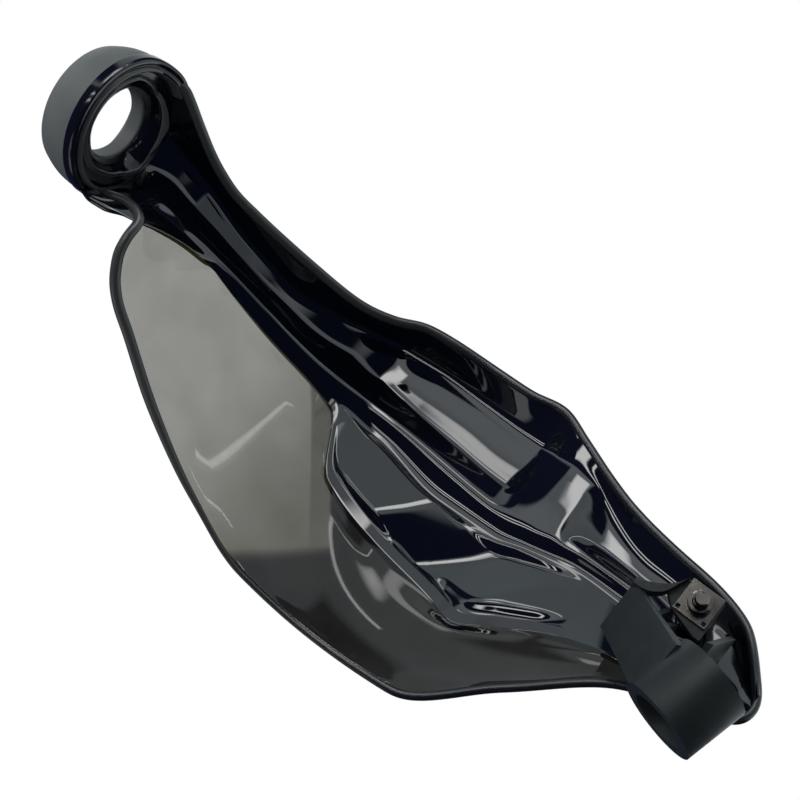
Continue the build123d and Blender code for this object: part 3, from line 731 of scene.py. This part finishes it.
def hang(name, grid, cover, finish):
    """Hangs a sheet in the studio that only mirror reflections see, as dense at each point as its cover."""
    piece = skin(name, grid)
    piece.data.attributes.new("cover", "FLOAT", "POINT").data.foreach_set("value", cover.ravel())
    piece.data.materials.append(finish)
    piece.visible_camera = False
    piece.visible_diffuse = False
    piece.visible_transmission = False
    piece.visible_shadow = False


card_centre = np.array([-130, 80, 10])


def card(name, turn, rise, finish, radius=2000, soft=0.0):
    """Piece of a sphere about the part between two turns and two rises, in degrees, with a point about
    every two; its cover fades from 1 to 0 over the soft border, in degrees."""
    a = np.linspace(*turn, 2 + int(abs(turn[1] - turn[0]) / 2))[:, None]
    e = np.linspace(*rise, 2 + int(abs(rise[1] - rise[0]) / 2))[None]
    border = np.minimum(np.minimum(a - turn[0], turn[1] - a), np.minimum(e - rise[0], rise[1] - e))
    cover = ease(border / soft) if soft else np.ones(border.shape)
    a, e = np.radians(a), np.radians(e)
    grid = radius * np.stack([np.cos(e) * np.cos(a), np.cos(e) * np.sin(a), np.sin(e) + 0 * a], -1)
    hang(name, grid + card_centre, cover, finish)


def strip_lamp(name, start, end, width, drop, finish):
    """Straight level lamp below the part: its two ends moved to either side by half the width."""
    start, end = np.array(start), np.array(end)
    along = (end - start) / np.linalg.norm(end - start)
    side = width / 2 * np.array([-along[1], along[0]])
    grid = np.array([[[*(p - side), drop], [*(p + side), drop]] for p in (start, end)])
    hang(name, grid, np.ones(4), finish)


dark_cloth = glowing("dark_cloth", (0.25, 0.35, 1.0), 0.06)
tube_lamp = glowing("tube_lamp", (1, 1, 1), 8)
soft_lamp = glowing("soft_lamp", (1, 1, 1), 5.5)
ceiling_panel = glowing("ceiling_panel", (0.95, 1.0, 1.0), 1.0)
grey_card = glowing("grey_card", (0.85, 1.0, 1.1), 0.55)
card("tent", (-180, 180), (-6, 90), dark_cloth, radius=3100)
card("camera_flag", (-158, -95), (-30, -2), dark_cloth, soft=4)
card("side_flag", (-184, -153), (-60, -7), grey_card, radius=1990, soft=6)
card("saddle_flag", (-62, 0), (-41, -8), dark_cloth, radius=1990, soft=6)
card("under_flag", (-95, 130), (-90, -58), dark_cloth, radius=1980, soft=4)
card("ceiling", (-80, 80), (56, 84), ceiling_panel, soft=6)
for k, rise in enumerate(((2.5, 7), (12, 16.5))):
    card(f"tube_{k}", (-98, -56), rise, tube_lamp, soft=1)
card("trough_tube", (-87, -64), (-39, -28.5), soft_lamp, radius=1950, soft=2.5)
card("bowl_box", (-94, -80), (-46, -13), tube_lamp, radius=1940, soft=3)
card("scoop_tube", (-118, -72), (-53, -52), tube_lamp, radius=1950)
strip_lamp("upper_strip", (-720, 90), (-680, -480), width=24, drop=-1500, finish=tube_lamp)


# Studio, lamps: three soft boxes that light the matt pieces from outboard, from above and from the front,
# and that no reflection shows.
def placed(right, up, back, place):
    """Matrix of an object whose own axes point right, up and back, at a place."""
    return Matrix([[*row] for row in np.column_stack([right, up, back, place])] + [[0, 0, 0, 1]])


def soft_box(name, place, aim, size, radiance):
    """Rectangular lamp at a place, facing an aim point; its power is pi times its area times radiance."""
    light = bpy.data.lights.new(name, "AREA")
    light.shape = "RECTANGLE"
    light.size, light.size_y = size
    light.energy = np.pi * size[0] * size[1] * radiance
    stand = bpy.data.objects.new(name, light)
    scene.collection.objects.link(stand)
    back = np.array(place, float) - np.array(aim, float)
    back = back / np.linalg.norm(back)
    right = np.cross((0, 0, 1), back)
    right = right / np.linalg.norm(right)
    stand.matrix_world = placed(right, np.cross(back, right), back, place)
    stand.visible_camera = False
    stand.visible_glossy = False


middle = (-0.13, 0.07, 0.02)
soft_box("key_box", (1.4, -1.2, 0.0), middle, (1.2, 1.0), 6)
soft_box("top_box", (0.2, -0.6, 1.8), middle, (1.0, 0.7), 1.0)
soft_box("back_box", (-0.5, 1.6, 1.0), middle, (1.2, 0.6), 1.5)

# Camera: the photograph's own viewing angle, rolled so that the guard runs from upper left to lower right.
camera = bpy.data.cameras.new("camera")
camera.lens = 72
camera.sensor_width = 36
camera.clip_end = 50
viewer = bpy.data.objects.new("camera", camera)
scene.collection.objects.link(viewer)
viewer.matrix_world = placed(right=(-0.76699, 0.13908, -0.62641), up=(0.50177, -0.47848, -0.72061),
                             back=(-0.39995, -0.86701, 0.29720), place=(-0.335947, -0.406091, 0.166202))
scene.camera = viewer
